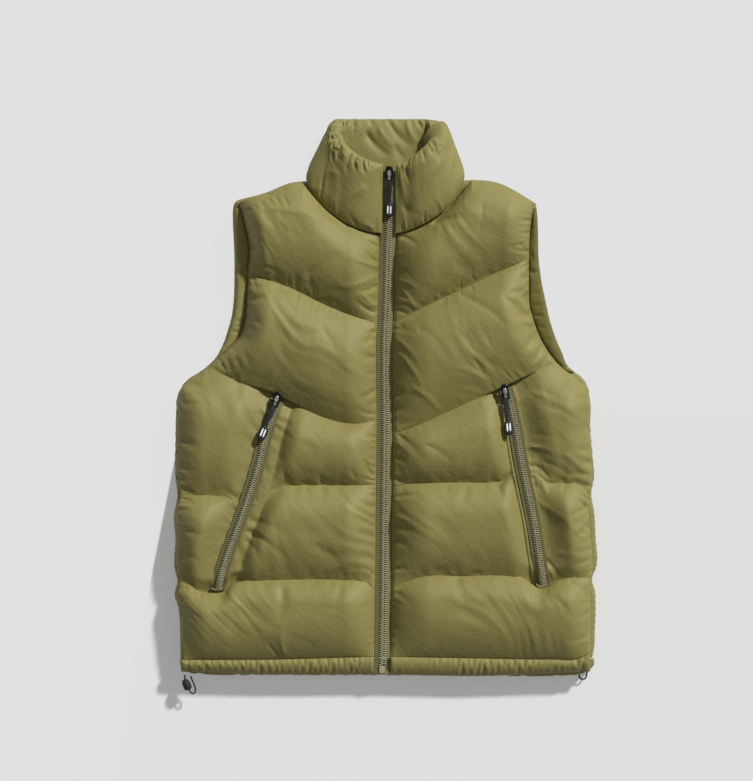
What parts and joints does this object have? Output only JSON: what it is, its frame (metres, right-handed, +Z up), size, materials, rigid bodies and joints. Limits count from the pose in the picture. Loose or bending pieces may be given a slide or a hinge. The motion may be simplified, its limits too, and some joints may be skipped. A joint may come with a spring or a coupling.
{
  "type": "puffer vest",
  "caption": "Padded sleeveless vest with chevron and straight quilting, a stand-up collar, a full front zip, slanted zip pockets and a corded hem, zipped up and laid flat.",
  "frame": {"origin": "centre of the vest's length and width, on the surface that its back lies on", "axes": "+Y from the hem to the collar, +Z up through the front, the wearer's right side at -X"},
  "size_m": [0.5743, 0.7765, 0.0653],
  "materials": {
    "shell": "crinkled olive nylon with a soft sheen",
    "facing": "smooth olive nylon",
    "zip_tape": "woven olive tape",
    "zip_chain": "satin olive coil",
    "pull_metal": "black nickel",
    "pull_grip": "moulded black with pale bars",
    "hem_cord": "braided black elastic",
    "cord_lock": "moulded black"
  },
  "bodies": {
    "garment": {"front_right": "shell", "front_left": "shell", "back": "shell", "collar": "shell", "hem_front_right": "shell", "hem_front_left": "shell", "hem_back": "shell", "armhole_facing_right": "facing", "armhole_facing_left": "facing", "zip_tape_right": "zip_tape", "zip_tape_left": "zip_tape", "zip_chain": "zip_chain", "zip_box": "zip_chain", "zip_slider": "pull_metal", "zip_slider_bail": "pull_metal", "pocket_tape_right": "zip_tape", "pocket_tape_left": "zip_tape", "pocket_chain_right": "zip_chain", "pocket_chain_left": "zip_chain", "pocket_slider_right": "pull_metal", "pocket_slider_right_bail": "pull_metal", "pocket_slider_left": "pull_metal", "pocket_slider_left_bail": "pull_metal", "hem_cord_right": "hem_cord", "hem_cord_left": "hem_cord", "cord_lock_right": "cord_lock", "cord_lock_left": "cord_lock"},
    "main_pull": {"main_pull_tab": "pull_metal", "main_pull_grip": "pull_grip"},
    "pocket_pull_right": {"pocket_pull_right_tab": "pull_metal", "pocket_pull_right_grip": "pull_grip"},
    "pocket_pull_left": {"pocket_pull_left_tab": "pull_metal", "pocket_pull_left_grip": "pull_grip"}
  },
  "joints": [
    {"name": "main_pull_swing", "type": "hinge", "parent": "garment", "child": "main_pull", "pos_m": [0.0049, 0.2994, 0.054], "axis": [-1, 0, 0], "range_deg": [0, 150]},
    {"name": "right_pocket_pull_swing", "type": "hinge", "parent": "garment", "child": "pocket_pull_right", "pos_m": [-0.1475, -0.0036, 0.0518], "axis": [-0.9272, 0.3746, 0], "range_deg": [0, 120]},
    {"name": "left_pocket_pull_swing", "type": "hinge", "parent": "garment", "child": "pocket_pull_left", "pos_m": [0.1615, 0.0069, 0.0518], "axis": [-0.9962, -0.0872, 0], "range_deg": [0, 120]}
  ]
}
